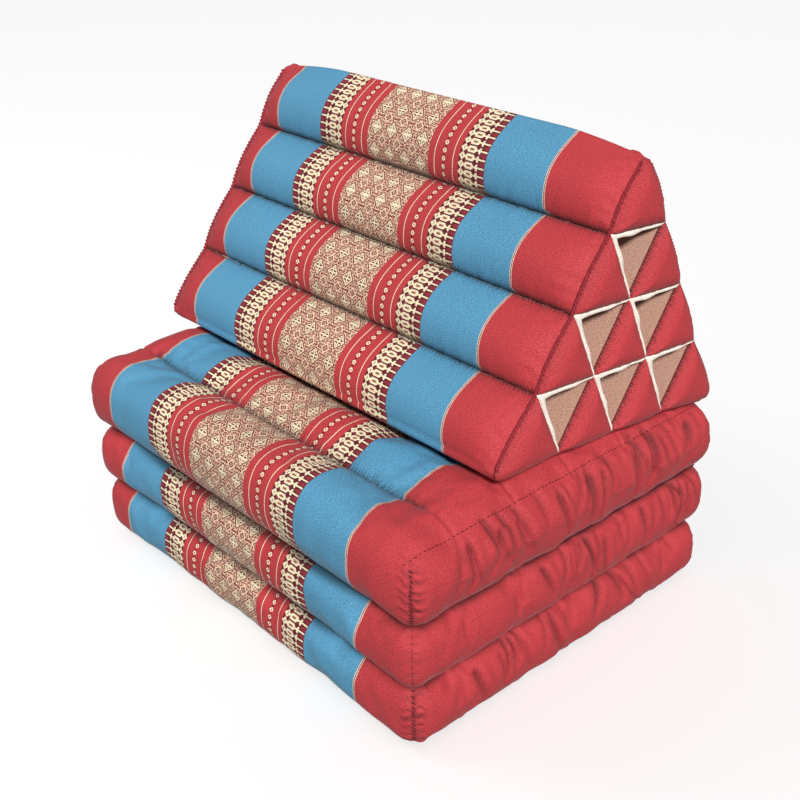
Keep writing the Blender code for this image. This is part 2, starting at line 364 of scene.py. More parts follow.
def pucker_mat(mesh, half, levels, seed, folds, sewn_line, by_hand):
    """Sewn creases, gathers beside them and folds in the sides, as moves along the normals.

    Also gives how deep each point lies in a fold, a corner tuck, a drawn corner seam and the crease
    between two mats, as weights of the painted shade laid there. Corner seams that are sewn by hand
    draw the cover in most, and the front right ones show it best.
    """
    block = read_from_cloth(mesh, "block")
    points = read_points(mesh)
    away = facing(block, half)[1]
    x, y, z = points.T
    flat = np.abs(away[:, 2]) ** 4
    move = np.zeros(len(points))
    for number, seam in enumerate(channel_seams()):
        distance = y - seam
        move -= 0.0016 * near(distance, 0.0024) * flat
        gathers = soft_folds(x, distance, 0.017, seed + 10 * number)
        move += 0.0010 * gathers * near(distance, 0.013) * flat
    low, high = levels
    # Weights of painted shade in the creases where this mat meets the mats next to it
    valley = np.maximum(near(z - low, 0.004), 0 if sewn_line else near(z - high, 0.004))
    count, stretch, size = folds
    for number, side in enumerate((-1, 1)):
        share = np.clip(side * away[:, 0] * 1.5, 0, 1) ** 1.2
        relief, deep = side_folds(y, high - z, stretch, count, size, seed + 100 + number)
        move += (relief + 0.0009 * soft_folds(y + 0.3 * z, z, 0.06, seed + 300 + number)) * share
        # Painted shade deep in the side folds
        valley = np.maximum(valley, deep * share)
        share = np.clip(side * away[:, 1], 0, 1) ** 2
        move += 0.0007 * soft_folds(x, z, 0.05, seed + 200 + number) * share
    for corner_x in (-1, 1):
        for corner_y in (-1, 1):
            apart = np.hypot(x - corner_x * (half[0] - 0.006), y - corner_y * (half[1] - 0.006))
            seam = (x * corner_x - half[0]) - (y * corner_y - half[1])
            beside = near(np.abs(seam) - 0.009, 0.009) * near(apart, 0.026) * (1 - flat)
            tucks = soft_folds(z, seam, 0.0095, seed + 7)
            gathered = (1.0 if by_hand else 0.2) * (1 if corner_x > 0 > corner_y else 0.25)
            move += 0.0022 * tucks * beside * gathered * np.clip(seam / 0.004 + 0.6, 0.15, 1)
            drawn = np.exp(-np.abs(seam) / 0.0035) * near(apart, 0.018) * (1 - flat)
            move -= (0.0032 if by_hand else 0.0012) * drawn
            # Painted shade in the dips of the corner tucks and along the drawn corner seams
            valley = np.maximum(valley, 0.8 * np.clip(tucks * -2, 0, 1) * beside * gathered)
            valley = np.maximum(valley, 0.9 * drawn * gathered * near(seam, 0.003))
    if sewn_line:
        apart = np.hypot(np.abs(x) - SIDE_LINE[0], z - SIDE_LINE[1])
        move -= 0.0016 * near(apart, 0.0032) * (np.abs(y) < 0.21)
        swell = np.hypot(np.abs(x) - SIDE_LINE[0] - 0.004, z - SIDE_LINE[1] + 0.006)
        move += 0.0012 * near(swell, 0.005)
    return points + read_normals(mesh) * move[:, None], valley


def fill_with_kapok(piece, pinned):
    """Let a cover swell and wrinkle over its filling, held along its sewn lines."""
    before = read_points(piece.data)
    sewn = piece.vertex_groups.new(name="sewn")
    sewn.add([int(index) for index in np.flatnonzero(pinned)], 1.0, "REPLACE")
    cover = piece.modifiers.new("cover", "CLOTH")
    settings = cover.settings
    settings.quality = 6
    settings.mass = 0.15
    settings.tension_stiffness = 25
    settings.compression_stiffness = 25
    settings.shear_stiffness = 8
    settings.bending_stiffness = 0.3
    settings.use_pressure = True
    settings.uniform_pressure_force = KAPOK_PRESSURE
    settings.shrink_min = -COVER_SLACK
    settings.shrink_max = -COVER_SLACK
    settings.vertex_group_mass = "sewn"
    settings.effector_weights.gravity = 0
    cover.collision_settings.use_collision = False
    cover.collision_settings.use_self_collision = False
    cover.point_cache.frame_start = 1
    cover.point_cache.frame_end = KAPOK_FRAMES
    for number in range(1, KAPOK_FRAMES + 1):
        bpy.context.scene.frame_set(number)
    settled = piece.evaluated_get(bpy.context.evaluated_depsgraph_get())
    after = read_points(settled.data)
    piece.modifiers.remove(cover)
    piece.vertex_groups.clear()
    bpy.context.scene.frame_set(1)
    move = np.nan_to_num(after - before)
    reach = np.linalg.norm(move, axis=1, keepdims=True)
    write_points(piece.data, before + move * np.minimum(1, KAPOK_CAP / np.maximum(reach, 1e-9)))


def make_mat(name, node, low, high, inset, crown, dome, ceiling, seed, cloth):
    half = np.array((MAT_WIDTH - inset, MAT_DEPTH - inset, high - low)) / 2
    cuts = mat_cuts(half)
    mesh, block, counts = cut_block(cuts)

    def form(points):
        return stuffed_mat(points, half, (low + high) / 2, crown, dome)

    def pressed(points):
        points[:, 2] = np.clip(points[:, 2], low + GAP / 2, ceiling(points[:, 1]) - GAP / 2)
        return points

    is_top = node == "mat_top"
    start = form(block)
    if is_top:
        shoulder = np.clip((np.abs(start[:, 0]) - 0.232) / 0.03, 0, 1) ** 1.5
        start[:, 2] -= 0.006 * shoulder * (block[:, 2] > 0)
    write_points(mesh, pressed(start))
    keep_on_cloth(mesh, "block", block)
    keep_on_cloth(mesh, "weave", lay_weave(block, counts, cuts, half, form, MAT_PATTERN_SHIFTS[node]))
    piece = add_piece(name, mesh, [cloth])
    on_seam = np.min([np.abs(block[:, 1] - seam) for seam in channel_seams()], axis=0) < 0.001
    faces_out = np.isclose(np.abs(block[:, 2]), half[2])
    resting = np.isclose(block[:, 2], -half[2]) & (np.abs(block[:, 0]) < half[0] - SIDE_BULGE)
    resting &= np.abs(block[:, 1]) < half[1] - SIDE_BULGE
    fill_with_kapok(piece, (on_seam & faces_out) | resting)
    write_points(mesh, pressed(read_points(mesh)))
    subdivide_once(piece)
    levels = (low, SIDE_LINE[1] if is_top else high)
    by_hand = node in HAND_SEWN_CORNERS
    points, valley = pucker_mat(piece.data, half, levels, seed, SIDE_FOLDS[node], is_top, by_hand)
    write_points(piece.data, pressed(points))
    keep_on_cloth(piece.data, "pull", lay_pull(read_from_cloth(piece.data, "block"), half, valley))
    fit_in_frame(piece, "woven_cloth", [node])
    return piece


def surface_of(piece):
    return BVHTree.FromObject(piece, bpy.context.evaluated_depsgraph_get())


def sewn_along(surface, places, inward, sizes, lean=0.0):
    """Stitches laid on a cover where lines from the given places, going inward, meet it."""
    found = [surface.ray_cast(Vector(place), Vector(inward))[:2] for place in places]
    found = [(point, normal) for point, normal in found if point is not None]
    stitches = []
    for (point, normal), (following, _) in zip(found, found[1:]):
        run = (following - point).normalized()
        run = (run + normal.cross(run) * lean).normalized()
        stitches.append((point, run, normal, sizes))
    return stitches


def sew_mats(mats, thread):
    """The machine seam along the top mat's sides and the seams down the mats' front and back corners."""
    bottom, middle, top = [surface_of(piece) for piece in mats]
    machine, hand = [], []
    for side in (-1, 1):
        line = [(side * (SIDE_LINE[0] + 0.02), y, SIDE_LINE[1] + 0.03)
                for y in np.arange(-0.214, 0.216, 0.0052)]
        machine += sewn_along(top, line, (-side * 0.02, 0, -0.03), (0.0023, 0.0005, 0.0004))
        for front in (-1, 1):
            for surface, low, high, inset, by_hand in ((top, 0.146, 0.208, 0.0, True),
                                                       (middle, 0.076, 0.136, 0.002, False),
                                                       (bottom, 0.006, 0.066, 0.004, True)):
                corner = (side * (MAT_WIDTH / 2 - inset), front * (MAT_DEPTH / 2 - inset))
                step = 0.0043 if by_hand else 0.004
                line = [(*corner, z) for z in np.arange(high, low, -step)]
                inward = (-side, -front, 0)
                if by_hand:
                    hand += sewn_along(surface, line, inward, (0.0030, 0.0008, 0.0008), lean=1.6)
                else:
                    machine += sewn_along(surface, line, inward, (0.0017, 0.00035, 0.0003))
    add_stitches("mat_machine_stitches", machine, thread, "red_cloth")
    add_stitches("mat_hand_stitches", hand, thread, "red_cloth")


def roll_crease_seam(thread):
    """The rolled edge of the seam that shows in the crease under the top mat, towards the back."""
    for word, side in (("right", 1), ("left", -1)):
        y = np.arange(-0.05, 0.2165, 0.004)
        x = 0.2636 + 0.0007 * uneven_wave(y, 0.030, 70 + side) - 0.9 * np.clip(y - 0.205, 0, 1)
        z = MAT_LEVELS[2] + 0.0005 + 0.0004 * uneven_wave(y, 0.021, 90 + side)
        points = np.column_stack((side * x, y, z))
        add_ridge(f"crease_seam_{word}", points, 0.0017, thread, closed=False)


def make_mats(cloth):
    floor, middle, top = MAT_LEVELS
    return [make_mat("bottom_mat", "mat_bottom", floor, middle, BOTTOM_INSET, PRESSED_CROWN, 0.0,
                     lambda y: middle, 3, cloth),
            make_mat("middle_mat", "mat_middle", middle, top, MIDDLE_INSET, PRESSED_CROWN, 0.0,
                     lambda y: top, 5, cloth),
            make_mat("top_mat", "mat_top", top, TOP_SHOULDER, 0.0, FREE_CROWN, TOP_DOME,
                     seat_height, 8, cloth)]


# Bolster

def bolster_point(along, across):
    front = Vector(FRONT_EDGE)
    base = Vector((math.cos(BOLSTER_TILT), math.sin(BOLSTER_TILT))) * BOLSTER_SIDE
    rise = math.radians(60) + BOLSTER_TILT
    apex = front + Vector((math.cos(rise), math.sin(rise))) * BOLSTER_SIDE
    back = front + base
    return apex + (front - apex) * along / BOLSTER_ROWS + (back - apex) * across / BOLSTER_ROWS


def tube_corners(row, place):
    """Corners of one tube's triangle and, for each side, whether it is a channel, the base or inner."""
    along = row - place
    corners = [bolster_point(along, place), bolster_point(along + 1, place),
               bolster_point(along, place + 1)]
    sides = ["channel" if place == 0 else "inner",
             "base" if row == BOLSTER_ROWS - 1 else "inner",
             "channel" if along == 0 else "inner"]
    return [np.array(corner) for corner in corners], sides


def outward(start, end, centre):
    run = end - start
    normal = np.array((run[1], -run[0])) / np.linalg.norm(run)
    return normal if normal @ (start - centre) > 0 else -normal


SIDE_SHARES = {
    "channel": [step / 24 for step in range(1, 24)],
    "base": [step / 10 for step in range(1, 10)],
    "inner": [0.02] + [step / 18 for step in range(1, 18)] + [0.98],
}
CORNER_STEPS = 4


def side_profile(side, share, crown, recess, rounded, downward):
    """How far one side of a tube stands out at each share of its length.

    recess gives how full an inner side is at its start and at its end. A channel is fullest a little
    below its middle, where downward says whether its shares run down or up.
    """
    lowered = share
    if side == "channel":
        lowered = share ** CHANNEL_SAG if downward else 1 - (1 - share) ** CHANNEL_SAG
    if side == "inner":
        room = 2 * np.minimum(share, 1 - share)
        swollen = (recess[0] * (1 - share) + recess[1] * share) * (0.90 + 0.10 * np.sin(share * math.pi))
        blend = 0.10
        lesser = np.minimum(room, swollen)
        apart = np.clip(blend - np.abs(room - swollen), 0, None)
        depth = BOLSTER_SIDE / BOLSTER_ROWS / (2 * math.sqrt(3))
        return depth * np.clip(lesser - apart ** 2 / (4 * blend), 0, None)
    height = CHANNEL_CROWN if side == "channel" else BASE_CROWN
    rise = height * crown * np.sin(lowered * math.pi) ** ARC_ROUNDNESS
    rise += CORNER_ROUND * (rounded[0] * (1 - share) ** 2 + rounded[1] * share ** 2)
    return np.minimum(rise, SEAT_DROP - GAP / 2) if side == "base" else rise


def section_plan(row, place):
    """Fixed plan of a tube's outline: for each point its side, share and turn round a corner."""
    corners, sides = tube_corners(row, place)
    rounded = [sides[index - 1] != "inner" and sides[index] != "inner" for index in range(3)]
    plan = []
    for index, side in enumerate(sides):
        following = (index + 1) % 3
        if rounded[index]:
            plan += [(index, 0.0, step / CORNER_STEPS) for step in range(1, CORNER_STEPS)]
            plan.append((index, 0.0, 1.0))
        else:
            plan.append((index, 0.0, None))
        plan += [(index, share, None) for share in SIDE_SHARES[side]]
        if rounded[following]:
            plan.append((index, 1.0, None))
    return plan, rounded


def tube_section(row, place, crown, from_end):
    corners, sides = tube_corners(row, place)
    centre = sum(corners) / 3
    plan, rounded = section_plan(row, place)
    normals = [outward(corners[index], corners[(index + 1) % 3], centre) for index in range(3)]
    points = []
    for index, share, turn in plan:
        start, end = corners[index], corners[(index + 1) % 3]
        if turn is not None:
            mixed = normals[index - 1] * (1 - turn) + normals[index] * turn
            points.append(start + mixed / np.linalg.norm(mixed) * CORNER_ROUND)
            continue
        ends = (rounded[index], rounded[(index + 1) % 3])
        rise = side_profile(sides[index], np.float64(share), crown, end_recess(from_end, index), ends,
                            index == 0)
        points.append(start + (end - start) * share + normals[index] * rise)
    shrink = 1 - TUBE_CLEARANCE / (BOLSTER_SIDE / BOLSTER_ROWS / 2)
    return centre + (np.array(points) - centre) * shrink


def draw_in_apex(points):
    """Soften the bolster's top edge towards its ends, where the cover pulls it down."""
    apex = np.array(bolster_point(0, 0))
    middle = sum(tube_corners(0, 0)[0]) / 3
    pull = (middle - apex) / np.linalg.norm(middle - apex)
    apart = np.linalg.norm(points[:, 1:] - apex, axis=1)
    share = np.clip((np.abs(points[:, 0]) - BOLSTER_LENGTH / 2 + 0.10) / 0.10, 0, 1)
    points[:, 1:] += pull * (0.010 * share ** 1.5 * near(apart, 0.030))[:, None]
    return points


def tube_stations():
    """Distances from the middle of a tube at which its sections are made."""
    end = BOLSTER_LENGTH / 2 - PANEL_SEAT
    near_end = [0.0, 0.0008, 0.002, 0.0035, 0.006, 0.009, 0.013, 0.017, 0.022, 0.027, 0.032, 0.04]
    inside = even_steps(-(end - 0.04), end - 0.04, 0.0062)
    return [-(end - step) for step in near_end] + inside + [end - step for step in reversed(near_end)]


def end_crown(from_end):
    return np.interp(from_end, (0, 0.009, 0.022, 0.038, 0.075), (0.24, 0.62, 0.87, 0.97, 1.0))


def end_recess(from_end, side):
    """Share of the recess that a tube's calico fills at this depth, at the side's start and end.

    The walls above and in front of a recess swell into its mouth, most where those two meet.
    """
    share = np.clip(from_end / RECESS_DEPTH, 0, 1)
    lips = {0: (0.01, 0.01), 1: (0.16, 0.05), 2: (0.05, 0.16)}[side]
    mouth = np.clip(from_end / 0.003, 0, 1) ** 0.5
    return [0.01 + lip * mouth + (0.96 - lip) * share ** 0.9 for lip in lips]


def tube_mesh(stations, sections):
    """A closed tube through sections of equal count, from a cylinder cut along its length."""
    count = len(sections[0])
    bm = bmesh.new()
    bmesh.ops.create_cone(bm, cap_ends=True, cap_tris=False, segments=count,
                          radius1=1.0, radius2=1.0, depth=2.0)
    along = [edge for edge in bm.edges if abs(edge.verts[0].co.z - edge.verts[1].co.z) > 1]
    bmesh.ops.subdivide_edges(bm, edges=along, cuts=len(stations) - 2)
    mesh = finished_mesh("tube", bm)
    points = read_points(mesh)
    turn = np.arctan2(points[:, 1], points[:, 0]) / (2 * math.pi) * count
    first = turn[0] % 1.0
    turn = np.rint(turn - first).astype(int) % count
    station = np.rint((points[:, 2] + 1) / 2 * (len(stations) - 1)).astype(int)
    flat = np.array(sections)[station, turn]
    write_points(mesh, np.column_stack((np.array(stations)[station], flat)))
    return mesh, station, turn


def turn_outward(mesh):
    bm = bmesh.new()
    bm.from_mesh(mesh)
    bmesh.ops.recalc_face_normals(bm, faces=bm.faces[:])
    bm.to_mesh(mesh)
    bm.free()


def is_calico(sides, index, share):
    """Whether the outline step from this share is calico, or woven cloth turned in at a seam."""
    after_cloth = sides[index - 1] != "inner" and share == 0
    before_cloth = sides[(index + 1) % 3] != "inner" and share == SIDE_SHARES["inner"][-1]
    return not (after_cloth or before_cloth)


def paint_sides(mesh, turn, count, calico_steps):
    """Give calico to the faces of the inner sides, and woven cloth to the outer ones and the caps."""
    for face in mesh.polygons:
        turns = {int(turn[index]) for index in face.vertices}
        if len(turns) > 2:
            face.material_index = 0
            continue
        low, high = min(turns), max(turns)
        step = high if (low, high) == (0, count - 1) else low
        face.material_index = 1 if step in calico_steps else 0


def tube_weave(row, place, plan, sides, stations, station, turn):
    """Where the weave lies on a tube, measured over the bolster's top edge from front to back."""
    section = tube_section(row, place, 1.0, RECESS_DEPTH)
    reach = arc_lengths(section)
    channel = tube_section(1, 0, 1.0, RECESS_DEPTH)
    last = max(number for number, (index, _, _) in enumerate(section_plan(1, 0)[0]) if index == 0)
    pitch = arc_lengths(channel[:last + 2])[-1]
    first = [next(number for number, (index, _, _) in enumerate(plan) if index == side)
             for side in range(3)]
    along = row - place
    starts = (along * pitch, (BOLSTER_ROWS + place) * pitch, -(place + 1) * pitch)
    across = np.array([starts[index] + reach[number] - reach[first[index]]
                       for number, (index, _, _) in enumerate(plan)])
    rounded = section_plan(row, place)[1]
    # Distance to the nearest seam, which sets the gathers there and the painted shade of the crease;
    # rounded corners count as far from any seam
    seam = np.array([min(share + 9 * rounded[index], 1 - share + 9 * rounded[(index + 1) % 3])
                     for index, share, _ in plan]) * pitch
    lean = PATTERN_LEAN * (np.clip(across, 0, BOLSTER_ROWS * pitch) - 1.5 * pitch)
    return np.column_stack((np.array(stations)[station] - lean[turn], across[turn], seam[turn]))


def pucker_tube(mesh, row, place, seed):
    """Gathers where a tube's channel meets its neighbours and is drawn in to its ends."""
    points = read_points(mesh)
    normals = read_normals(mesh)
    x = points[:, 0]
    end = BOLSTER_LENGTH / 2 - PANEL_SEAT
    from_end = end - np.abs(x)
    corners, sides = tube_corners(row, place)
    rounded = section_plan(row, place)[1]
    move = np.zeros(len(points))
    for index, side in enumerate(sides):
        if side == "inner":
            continue
        start, finish = corners[index], corners[(index + 1) % 3]
        run = (finish - start) / np.linalg.norm(finish - start)
        centre = sum(corners) / 3
        normal = outward(start, finish, centre)
        offset = points[:, 1:] - start
        share = offset @ run / (BOLSTER_SIDE / BOLSTER_ROWS)
        on_side = (normals[:, 1:] @ normal > 0.2) & (offset @ normal > -0.001)
        seam = np.minimum(np.abs(share), np.abs(1 - share)) * BOLSTER_SIDE / BOLSTER_ROWS
        below = share > 0.5
        for number, part in enumerate((~below, below)):
            if rounded[(index + number) % 3]:
                continue
            gathers = soft_folds(x, seam, 0.019, seed + number * 5 + index * 20)
            move += 0.0009 * gathers * near(seam - 0.006, 0.011) * on_side * part
        drawn = soft_folds(share * 0.079, from_end, 0.013, seed + 60)
        move += 0.0018 * drawn * near(from_end - 0.005, 0.016) * on_side
    return points + normals * move[:, None]


def make_tube(number, row, place, cloth, calico):
    plan = section_plan(row, place)[0]
    sides = tube_corners(row, place)[1]
    stations = tube_stations()
    end = BOLSTER_LENGTH / 2 - PANEL_SEAT
    sections = [tube_section(row, place, end_crown(end - abs(x)), end - abs(x)) for x in stations]
    mesh, station, turn = tube_mesh(stations, sections)
    calico_steps = {step for step, (index, share, corner) in enumerate(plan)
                    if sides[index] == "inner" and is_calico(sides, index, share)}
    keep_on_cloth(mesh, "weave", tube_weave(row, place, plan, sides, stations, station, turn))
    paint_sides(mesh, turn, len(plan), calico_steps)
    turn_outward(mesh)
    piece = add_piece(f"bolster_tube_{number:02d}", mesh, [cloth, calico])
    write_points(piece.data, draw_in_apex(pucker_tube(piece.data, row, place, 11 * number)))
    fit_in_frame(piece, "calico" if "channel" not in sides and "base" not in sides else "woven_cloth",
                 [f"tube_{number:02d}"])


PANEL_RINGS = ((1.0, 0.0), (0.985, 0.10), (0.95, 0.24), (0.89, 0.42), (0.80, 0.60), (0.68, 0.77),
               (0.53, 0.90), (0.36, 0.97), (0.18, 1.0))


def make_panel(number, row, place, side, word, red):
    """A crowned red triangle that closes the end of one tube."""
    centre = sum(tube_corners(row, place)[0]) / 3
    section = tube_section(row, place, end_crown(0.0), 0.0)
    shrink = 1 - TUBE_CLEARANCE / (BOLSTER_SIDE / BOLSTER_ROWS / 4)
    seat = BOLSTER_LENGTH / 2 - PANEL_SEAT + GAP
    rim = BOLSTER_LENGTH / 2 - PANEL_RIM
    heights = [seat] + [rim + share * PANEL_CROWN for _, share in PANEL_RINGS]
    scales = [1.0] + [scale for scale, _ in PANEL_RINGS]
    sections = [centre + (section - centre) * shrink * scale for scale in scales]
    mesh, ring, _ = tube_mesh([side * height for height in heights], sections)
    points = read_points(mesh)
    inner = np.linalg.norm(points[:, 1:] - centre, axis=1)
    share = np.clip((np.abs(points[:, 0]) - rim) / PANEL_CROWN, 0, 1)
    around = np.arctan2(points[:, 2] - centre[1], points[:, 1] - centre[0])
    seed = number * 3 + (100 if side > 0 else 0)
    creases = uneven_wave(around * 0.03, 0.016, seed) * near(share - 0.45, 0.35)
    points[:, 0] += side * creases * 0.0007 * (inner > 0.004)
    write_points(mesh, draw_in_apex(points))
    # The distance from the rim, stretched, sets gathers along the rim and painted shade that darkens the
    # panel towards its rim
    from_rim = (1 - np.array(scales)[ring]) * BOLSTER_SIDE / BOLSTER_ROWS / (2 * math.sqrt(3))
    keep_on_cloth(mesh, "weave", np.column_stack((points[:, 1:], from_rim * 1.5 + 0.0035)))
    turn_outward(mesh)
    piece = add_piece(f"end_panel_{word}_{number:02d}", mesh, [red])
    fit_in_frame(piece, "red_cloth", [f"end_{word}_{number:02d}"])


def end_outline():
    """Points round an end of the bolster, from its top edge down the front and back up."""
    points = []
    runs = [(row, 0, 0) for row in range(BOLSTER_ROWS)]
    runs += [(BOLSTER_ROWS - 1, place, 1) for place in range(BOLSTER_ROWS)]
    runs += [(row, row, 2) for row in reversed(range(BOLSTER_ROWS))]
    for row, place, wanted in runs:
        section = tube_section(row, place, end_crown(0.0), 0.0)
        for point, (index, share, _) in zip(section, section_plan(row, place)[0]):
            if index == wanted and 0 < share < 1:
                points.append(point)
    return np.array(points)


def spaced_out(points, pitch):
    """Evenly spaced points round a closed line, and the direction of the line at each."""
    closed = np.vstack((points, points[:1]))
    reach = arc_lengths(closed)
    places = np.arange(0, reach[-1], reach[-1] / round(reach[-1] / pitch))
    even = np.column_stack([np.interp(places, reach, closed[:, axis]) for axis in range(closed.shape[1])])
    run = np.roll(even, -1, axis=0) - np.roll(even, 1, axis=0)
    return even, run / np.linalg.norm(run, axis=1, keepdims=True)


def add_stitches(name, stitches, material, slot):
    """Small sewn stitches, each given by its middle, its run, its outward and its half sizes."""
    bm = bmesh.new()
    for middle, run, out, sizes in stitches:
        run, out = Vector(run).normalized(), Vector(out)
        side = run.cross(out).normalized()
        out = side.cross(run)
        turned = Matrix((run * sizes[0], side * sizes[1], out * sizes[2])).transposed().to_4x4()
        bmesh.ops.create_uvsphere(bm, u_segments=6, v_segments=5, radius=1.0,
                                  matrix=Matrix.Translation(middle) @ turned)
    bmesh.ops.recalc_face_normals(bm, faces=bm.faces[:])
    fit_in_frame(add_piece(name, finished_mesh(name, bm), [material]), slot)


def add_ridge(name, points, radius, material, closed=True):
    """A rolled seam ridge along a line."""
    line = bpy.data.curves.new(name, "CURVE")
    line.dimensions = "3D"
    line.bevel_depth = radius
    line.bevel_resolution = 1
    spline = line.splines.new("POLY")
    spline.points.add(len(points) - 1)
    for slot, point in zip(spline.points, points):
        slot.co = (*point, 1.0)
    spline.use_cyclic_u = closed
    line.use_fill_caps = not closed
    curve = bpy.data.objects.new(name, line)
    bpy.context.collection.objects.link(curve)
    mesh = bpy.data.meshes.new_from_object(curve.evaluated_get(bpy.context.evaluated_depsgraph_get()))
    bpy.data.objects.remove(curve)
    piece = add_piece(name, mesh, [material])
    fit_in_frame(piece, "red_cloth")


def sew_ends(thread):
    """The whip-stitched ridge round both ends of the bolster."""
    outline = end_outline()
    for word, side in (("right", 1), ("left", -1)):
        x = side * (BOLSTER_LENGTH / 2 - 0.0025)
        line = draw_in_apex(np.column_stack((np.full(len(outline), x), outline)))
        flat, run = spaced_out(line, 0.0042)
        centre = flat.mean(axis=0)
        add_ridge(f"end_ridge_{word}", flat, 0.0017, thread)
        stitches = []
        chance = np.random.default_rng(40 + side)
        for place, ahead in zip(flat, run):
            out = np.cross(ahead, (1, 0, 0))
            out = out if out @ (place - centre) > 0 else -out
            across = np.array((side, 0, 0)) * 0.8 + out * 0.15
            lean = ahead * chance.uniform(0.55, 0.95) + across
            bulge = (np.array((side, 0, 0)) + out) / math.sqrt(2)
            full = 1.0 if out[1] < -0.3 else 0.62
            sizes = (0.0030 * full * chance.uniform(0.85, 1.15), 0.0013 * full, 0.0012 * full)
            stitches.append((place + bulge * 0.0010, lean, bulge, sizes))
        add_stitches(f"end_whip_stitches_{word}", stitches, thread, "red_cloth")


def sew_recesses(thread):
    """Fine stitches along the back wall of each recess, where calico meets a red panel."""
    for word, side in (("right", 1), ("left", -1)):
        stitches = []
        chance = np.random.default_rng(60 + side)
        for row in range(1, BOLSTER_ROWS):
            for place in range(1, row + 1):
                corners = tube_corners(row, place)[0]
                start, end = corners[0], corners[1]
                out = outward(start, end, sum(corners) / 3)
                run = (end - start) / np.linalg.norm(end - start)
                for step in range(1, RECESS_STITCHES):
                    share = (step + chance.uniform(-0.15, 0.15)) / RECESS_STITCHES
                    middle = start + (end - start) * share
                    middle = middle + out * 0.0003
                    place_3d = (side * (BOLSTER_LENGTH / 2 - 0.0022), *middle)
                    lean = (side * 0.9, *(run * 0.5 * (1 if step % 2 else -1)))
                    stitches.append((place_3d, lean, (0, *out), (0.0019, 0.0004, 0.0004)))
        add_stitches(f"recess_stitches_{word}", stitches, thread, "calico")


def lip_mesh(start, end, inward, side, widths, seed):
    """A ruffled calico lip along one edge of a recess, wide at its start and tapering away."""
    chance = np.random.default_rng(seed)
    phase = chance.uniform(0, 10)
    shares = np.linspace(0.0, 1.0, 30)
    count = 10
    bm = bmesh.new()
    bmesh.ops.create_cone(bm, cap_ends=True, segments=count, radius1=1.0, radius2=1.0, depth=2.0)
    along = [edge for edge in bm.edges if abs(edge.verts[0].co.z - edge.verts[1].co.z) > 1]
    bmesh.ops.subdivide_edges(bm, edges=along, cuts=len(shares) - 2)
    for vert in bm.verts:
        share = (vert.co.z + 1) / 2
        width = widths[0] + (widths[1] - widths[0]) * share
        width *= 1 + 0.10 * math.sin(share * 11 + phase) + 0.06 * math.sin(share * 19 + phase * 2)
        width *= min(1.0, 0.25 + min(share, 1 - share) * 14)
        ruffle = 0.0005 * math.sin(share * 13 + phase)
        middle = start + (end - start) * share + inward * (width / 2 - 0.0004)
        flat = middle + inward * vert.co.x * width / 2
        x = side * (BOLSTER_LENGTH / 2 - 0.0008 + ruffle + vert.co.y * (0.0006 + width * 0.16))
        vert.co = (x, *flat)
    bmesh.ops.recalc_face_normals(bm, faces=bm.faces[:])
    mesh = finished_mesh("lip", bm)
    points = read_points(mesh)
    x, y, z = points.T
    keep_on_cloth(mesh, "weave", np.column_stack((y + x, z, 0 * x + 1)))
    return mesh


def make_lips(calico):
    """The lips in front of and above each recess, which its calico walls push out."""
    for word, side in (("right", 1), ("left", -1)):
        number = 0
        for row in range(BOLSTER_ROWS - 1):
            for place in range(row + 1):
                number += 1
                left, right = bolster_point(row + 1 - place, place), bolster_point(row - place, place + 1)
                foot = np.array(bolster_point(row + 1 - place, place + 1))
                left, right = np.array(left), np.array(right)
                centre = (left + right + foot) / 3
                for word_two, end in (("top", right), ("front", foot)):
                    inward = -outward(left, end, centre)
                    widths = (LIP_FULL, LIP_THIN) if word_two == "front" else (LIP_FULL * 0.9, LIP_THIN)
                    lip = lip_mesh(left, end, inward, side, widths, number * 7 + side)
                    piece = add_piece(f"recess_lip_{word_two}_{word}_{number}", lip, [calico])
                    fit_in_frame(piece, "calico")


def make_bolster(cloth, calico, red):
    number = 0
    for row in range(BOLSTER_ROWS):
        for place in range(row + 1):
            number += 1
            make_tube(number, row, place, cloth, calico)
            for word, side in (("right", 1), ("left", -1)):
                make_panel(number, row, place, side, word, red)


# Cloth finishes

def dye(red, green, blue):
    """A dye's colour from its printed red, green and blue, up to 255."""
    parts = [value / 255 for value in (red, green, blue)]
    return (*[part / 12.92 if part <= 0.04045 else ((part + 0.055) / 1.055) ** 2.4 for part in parts], 1.0)


RED_DYE = dye(175, 53, 58)
BLUE_DYE = dye(80, 141, 174)
MAROON_DYE = dye(91, 20, 30)
CREAM_DYE = dye(228, 214, 180)
SAND_DYE = dye(220, 187, 158)
SALMON_DYE = dye(168, 96, 84)
DULL_RED_DYE = dye(130, 39, 50)
BROWN_DYE = dye(121, 57, 50)
PALE_LINE_DYE = dye(211, 190, 172)
# Calico of the recess walls, dyed far darker than the light cloth is: painted shade of the deep recesses
RECESS_SHADED_CALICO_DYE = dye(161, 123, 105)
# The same calico on the recess lips, dyed near white: painted light where the lips face the lamp
LIT_LIP_CALICO_DYE = dye(236, 227, 214)
THREAD_DYE = dye(136, 35, 44)
DARK_THREAD_DYE = dye(74, 17, 27)
GREY_THREAD_DYE = dye(120, 104, 98)


